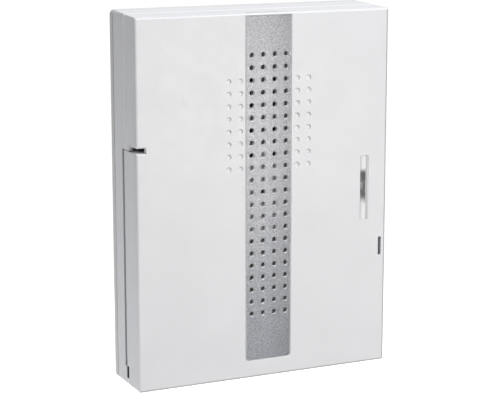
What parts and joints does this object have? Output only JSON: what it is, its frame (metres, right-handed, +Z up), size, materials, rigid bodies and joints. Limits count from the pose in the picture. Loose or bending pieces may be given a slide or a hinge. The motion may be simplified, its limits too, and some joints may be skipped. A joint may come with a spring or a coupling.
{
  "type": "doorbell chime box",
  "caption": "Upright white wall box of an electronic door chime: hinged front cover with a silver perforated sound strip, a clear light window and a latch slit, over a wall plate.",
  "frame": {"origin": "middle of the wall plate's back face, which lies on the wall", "axes": "+Z up, +X to the right seen from the front, -Y out of the wall towards the viewer"},
  "size_m": [0.1401, 0.034, 0.1902],
  "materials": {
    "white_plastic": "satin moulded plastic",
    "plate_plastic": "matt moulded plastic",
    "silver_paint": "speckled silver paint",
    "clear_acrylic": "clear",
    "screw_steel": "zinc plated",
    "pressed_steel": "passivated sheet",
    "spring_steel": "nickel plated wire",
    "contact_brass": "tinned sheet",
    "board_laminate": "solder mask",
    "terminal_plastic": "moulded plastic",
    "black_plastic": "matt",
    "black_rubber": "matt",
    "capacitor_sleeve": "shrunk sleeve",
    "led_epoxy": "frosted epoxy",
    "socket_nylon": "natural nylon",
    "pot_plastic": "moulded plastic",
    "button_red": "satin",
    "ferrite": "ground ferrite",
    "cone_paper": "pressed pulp",
    "foam": "open foam",
    "cell_sleeve": "plain sleeve",
    "red_insulation": "satin"
  },
  "bodies": {
    "base": {"wall_plate": "plate_plastic", "rear_housing": "white_plastic", "housing_screws": "screw_steel", "cable_grommet": "black_rubber", "circuit_board": "board_laminate", "board_screws": "screw_steel", "terminal_block": "terminal_plastic", "terminal_screws": "contact_brass", "sound_chip": "black_plastic", "rectifier": "black_plastic", "capacitors": "capacitor_sleeve", "signal_led": "led_epoxy", "lead_sockets": "socket_nylon", "volume_pot": "pot_plastic", "button_switch": "black_plastic", "speaker_frame": "pressed_steel", "speaker_magnet": "ferrite", "speaker_cone": "cone_paper", "speaker_gasket": "foam", "speaker_screws": "screw_steel", "speaker_leads": "black_rubber", "battery_tray": "white_plastic", "battery_cells": "cell_sleeve", "battery_springs": "spring_steel", "battery_contacts": "contact_brass", "battery_leads": "red_insulation"},
    "cover": {"front_cover": "white_plastic", "grille_strip": "silver_paint", "light_window": "clear_acrylic", "hinge_pins": "screw_steel"},
    "latch": {"latch_tongue": "white_plastic"},
    "volume": {"volume_knob": "white_plastic"},
    "melody": {"melody_button": "button_red"}
  },
  "joints": [
    {"name": "cover_hinge", "type": "hinge", "parent": "base", "child": "cover", "pos_m": [-0.0684, -0.018, 0], "axis": [0, 0, -1], "range_deg": [0, 95]},
    {"name": "latch_release", "type": "hinge", "parent": "base", "child": "latch", "pos_m": [0.065, -0.0089, -0.0312], "axis": [0, 0, -1], "range_deg": [0, 3], "stiffness_Nm_per_rad": 1.9},
    {"name": "volume_turn", "type": "hinge", "parent": "base", "child": "volume", "pos_m": [0.024, -0.0176, -0.017], "axis": [0, 1, 0], "range_deg": [-135, 135]},
    {"name": "melody_press", "type": "slide", "parent": "base", "child": "melody", "axis": [0, 1, 0], "range_m": [0, 0.0006], "stiffness_N_per_m": 2500}
  ]
}
